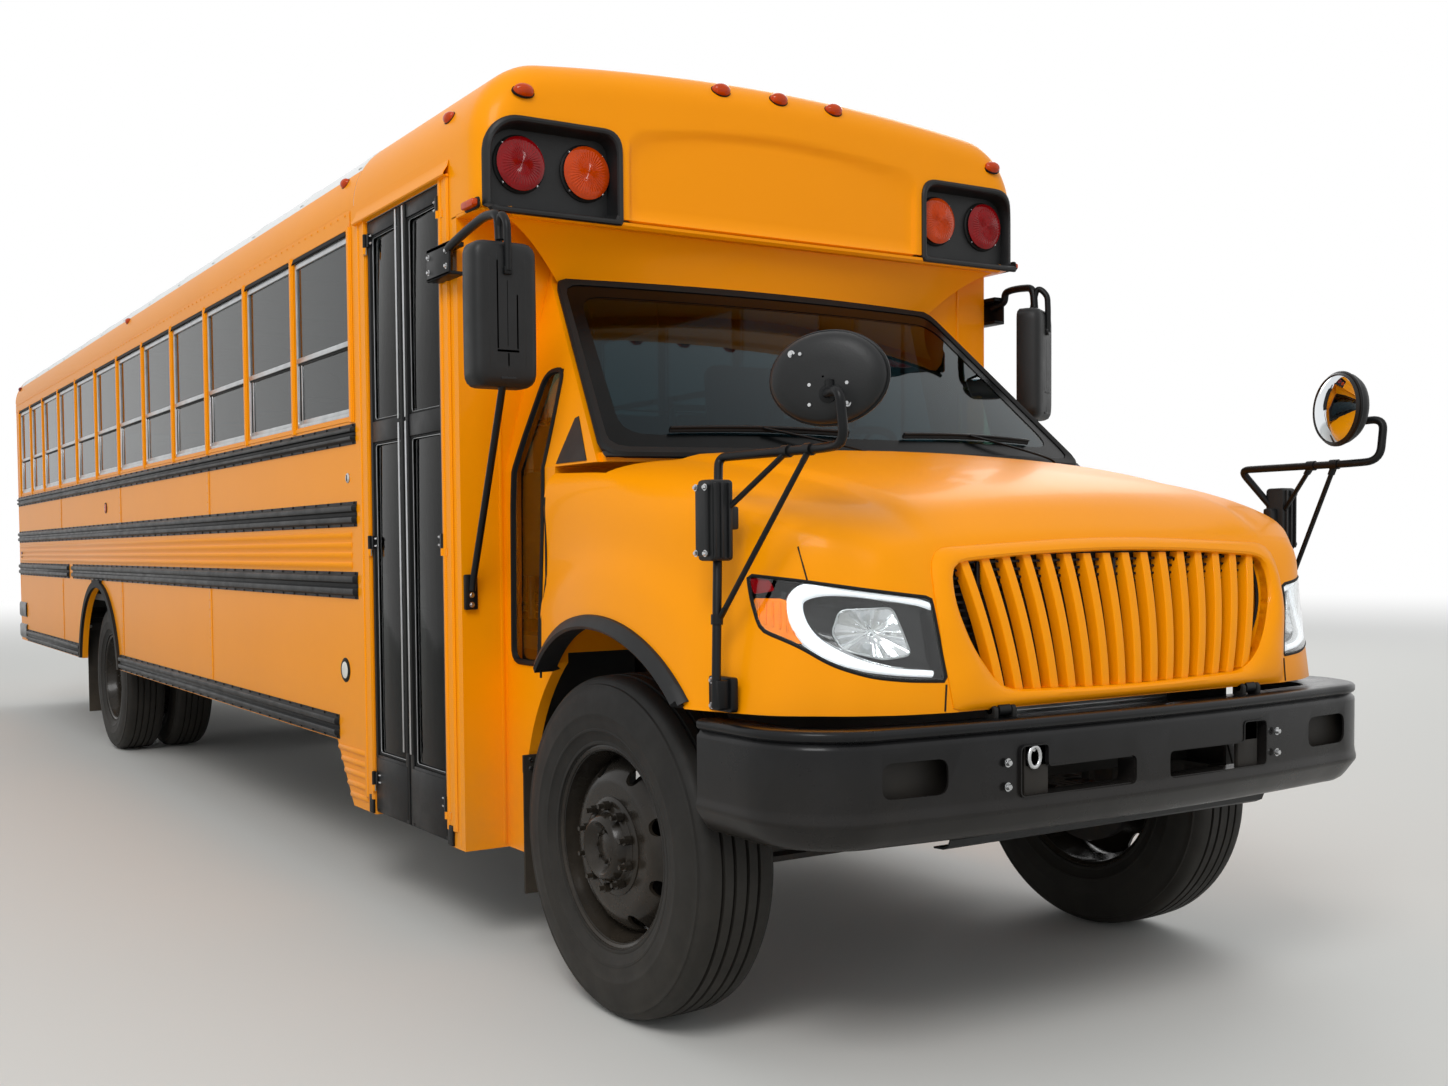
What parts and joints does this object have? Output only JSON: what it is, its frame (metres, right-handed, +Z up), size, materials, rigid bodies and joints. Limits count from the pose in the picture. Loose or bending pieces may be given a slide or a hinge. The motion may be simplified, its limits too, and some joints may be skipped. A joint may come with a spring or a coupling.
{
  "type": "school bus",
  "caption": "Conventional bonneted school bus with tilting hood, folding entrance doors, side windows, stop arm and twin rear wheels.",
  "frame": {"origin": "on the ground, midway between the front and rear bumper faces and between the sides", "axes": "+Z up; the front of the bus faces -Y; +X is the bus's left, street side; -X is its curb side with the entrance door"},
  "size_m": [2.7747, 11.43, 3.1232],
  "materials": {
    "yellow_paint": "gloss",
    "white_paint": "gloss",
    "black_paint": "satin",
    "chassis_paint": "satin",
    "window_glass": "gloss",
    "tyre_rubber": "matte",
    "wheel_paint": "gloss",
    "flap_rubber": "matte",
    "black_plastic": "matte",
    "seat_vinyl": "satin",
    "floor_rubber": "matte",
    "cast_metal": "rough",
    "steel": "satin",
    "red_paint": "gloss",
    "lamp_lens": "gloss",
    "tank_paint": "satin"
  },
  "bodies": {
    "chassis": {"frame_rails": "chassis_paint", "floor": "floor_rubber", "step_well": "steel", "wall_left": "yellow_paint", "wall_right": "yellow_paint", "roof": "white_paint", "front_cap": "yellow_paint", "cowl": "yellow_paint", "rear_wall": "yellow_paint", "side_windows": "window_glass", "windshield": "window_glass", "quarter_windows": "window_glass", "rear_windows": "window_glass", "rub_rails": "black_paint", "arch_flares": "flap_rubber", "front_bumper": "black_paint", "rear_bumper": "black_paint", "front_axle": "cast_metal", "rear_axle": "cast_metal", "leaf_springs": "cast_metal", "engine_block": "cast_metal", "drive_shaft": "steel", "fuel_tank": "tank_paint", "battery_box": "black_paint", "exhaust": "steel", "seats": "seat_vinyl", "driver_seat": "seat_vinyl", "dashboard": "black_plastic", "rear_view_mirrors": "black_plastic", "warning_boxes": "black_plastic", "rear_lamps": "lamp_lens", "mud_flaps": "flap_rubber", "stop_arm_base": "black_plastic"},
    "hood": {"hood": "yellow_paint", "grille": "yellow_paint", "headlamps": "lamp_lens", "fender_flares": "flap_rubber", "cross_mirrors": "black_plastic"},
    "tie_rod": {"tie_rod": "cast_metal"},
    "steering_wheel": {"steering_wheel": "black_plastic"},
    "door_leaf_front": {"door_leaf_front": "black_paint"},
    "door_leaf_rear": {"door_leaf_rear": "black_paint"},
    "rear_door": {"rear_door": "yellow_paint"},
    "stop_arm": {"stop_arm": "red_paint"},
    "roof_hatch_front": {"roof_hatch_front": "white_paint"},
    "roof_hatch_rear": {"roof_hatch_rear": "white_paint"},
    "knuckle_left": {"knuckle_left": "cast_metal"},
    "front_wheel_left": {"front_wheel_left": "wheel_paint", "front_tyre_left": "tyre_rubber"},
    "rear_wheels_left": {"rear_wheels_left": "wheel_paint", "rear_tyres_left": "tyre_rubber"},
    "knuckle_right": {"knuckle_right": "cast_metal"},
    "front_wheel_right": {"front_wheel_right": "wheel_paint", "front_tyre_right": "tyre_rubber"},
    "rear_wheels_right": {"rear_wheels_right": "wheel_paint", "rear_tyres_right": "tyre_rubber"}
  },
  "joints": [
    {"name": "hood_tilt", "type": "hinge", "parent": "chassis", "child": "hood", "pos_m": [0, -5.635, 0.965], "axis": [1, 0, 0], "range_deg": [0, 75]},
    {"name": "steer_left", "type": "hinge", "parent": "chassis", "child": "knuckle_left", "pos_m": [0.832, -4.685, 0.51], "axis": [0, 0, 1], "range_deg": [-40, 40]},
    {"name": "steer_right", "type": "hinge", "parent": "chassis", "child": "knuckle_right", "pos_m": [-0.832, -4.685, 0.51], "axis": [0, 0, 1], "range_deg": [-40, 40]},
    {"name": "tie_rod_swing", "type": "hinge", "parent": "knuckle_left", "child": "tie_rod", "pos_m": [0.832, -4.495, 0.43], "axis": [0, 0, 1], "range_deg": [-40, 40]},
    {"name": "steering_wheel_turn", "type": "hinge", "parent": "chassis", "child": "steering_wheel", "pos_m": [0.62, -3.675, 1.74], "axis": [0, 0.5, 0.866], "range_deg": [-720, 720]},
    {"name": "front_wheel_left_roll", "type": "hinge", "parent": "knuckle_left", "child": "front_wheel_left", "pos_m": [1.01, -4.685, 0.51], "axis": [1, 0, 0], "continuous": true},
    {"name": "front_wheel_right_roll", "type": "hinge", "parent": "knuckle_right", "child": "front_wheel_right", "pos_m": [-1.01, -4.685, 0.51], "axis": [1, 0, 0], "continuous": true},
    {"name": "rear_wheels_left_roll", "type": "hinge", "parent": "chassis", "child": "rear_wheels_left", "pos_m": [1.01, 2.165, 0.51], "axis": [1, 0, 0], "continuous": true},
    {"name": "rear_wheels_right_roll", "type": "hinge", "parent": "chassis", "child": "rear_wheels_right", "pos_m": [-1.01, 2.165, 0.51], "axis": [1, 0, 0], "continuous": true},
    {"name": "door_front_swing", "type": "hinge", "parent": "chassis", "child": "door_leaf_front", "pos_m": [-1.227, -3.753, 1.5], "axis": [0, 0, 1], "range_deg": [0, 85]},
    {"name": "door_rear_swing", "type": "hinge", "parent": "chassis", "child": "door_leaf_rear", "pos_m": [-1.227, -3.067, 1.5], "axis": [0, 0, -1], "range_deg": [0, 85]},
    {"name": "rear_door_swing", "type": "hinge", "parent": "chassis", "child": "rear_door", "pos_m": [-0.308, 5.623, 1.8], "axis": [0, 0, 1], "range_deg": [0, 110]},
    {"name": "stop_arm_swing", "type": "hinge", "parent": "chassis", "child": "stop_arm", "pos_m": [1.297, -2.835, 1.5], "axis": [0, 0, -1], "range_deg": [0, 90]},
    {"name": "roof_hatch_front_lift", "type": "hinge", "parent": "chassis", "child": "roof_hatch_front", "pos_m": [0, -1.515, 3.0783], "axis": [1, 0, 0], "range_deg": [0, 80]},
    {"name": "roof_hatch_rear_lift", "type": "hinge", "parent": "chassis", "child": "roof_hatch_rear", "pos_m": [0, 2.985, 3.0783], "axis": [1, 0, 0], "range_deg": [0, 80]}
  ],
  "couplings": [
    {"joint": "steer_right", "follows": "steer_left", "ratio": 1},
    {"joint": "tie_rod_swing", "follows": "steer_left", "ratio": -1},
    {"joint": "steering_wheel_turn", "follows": "steer_left", "ratio": 18},
    {"joint": "door_rear_swing", "follows": "door_front_swing", "ratio": 1}
  ]
}
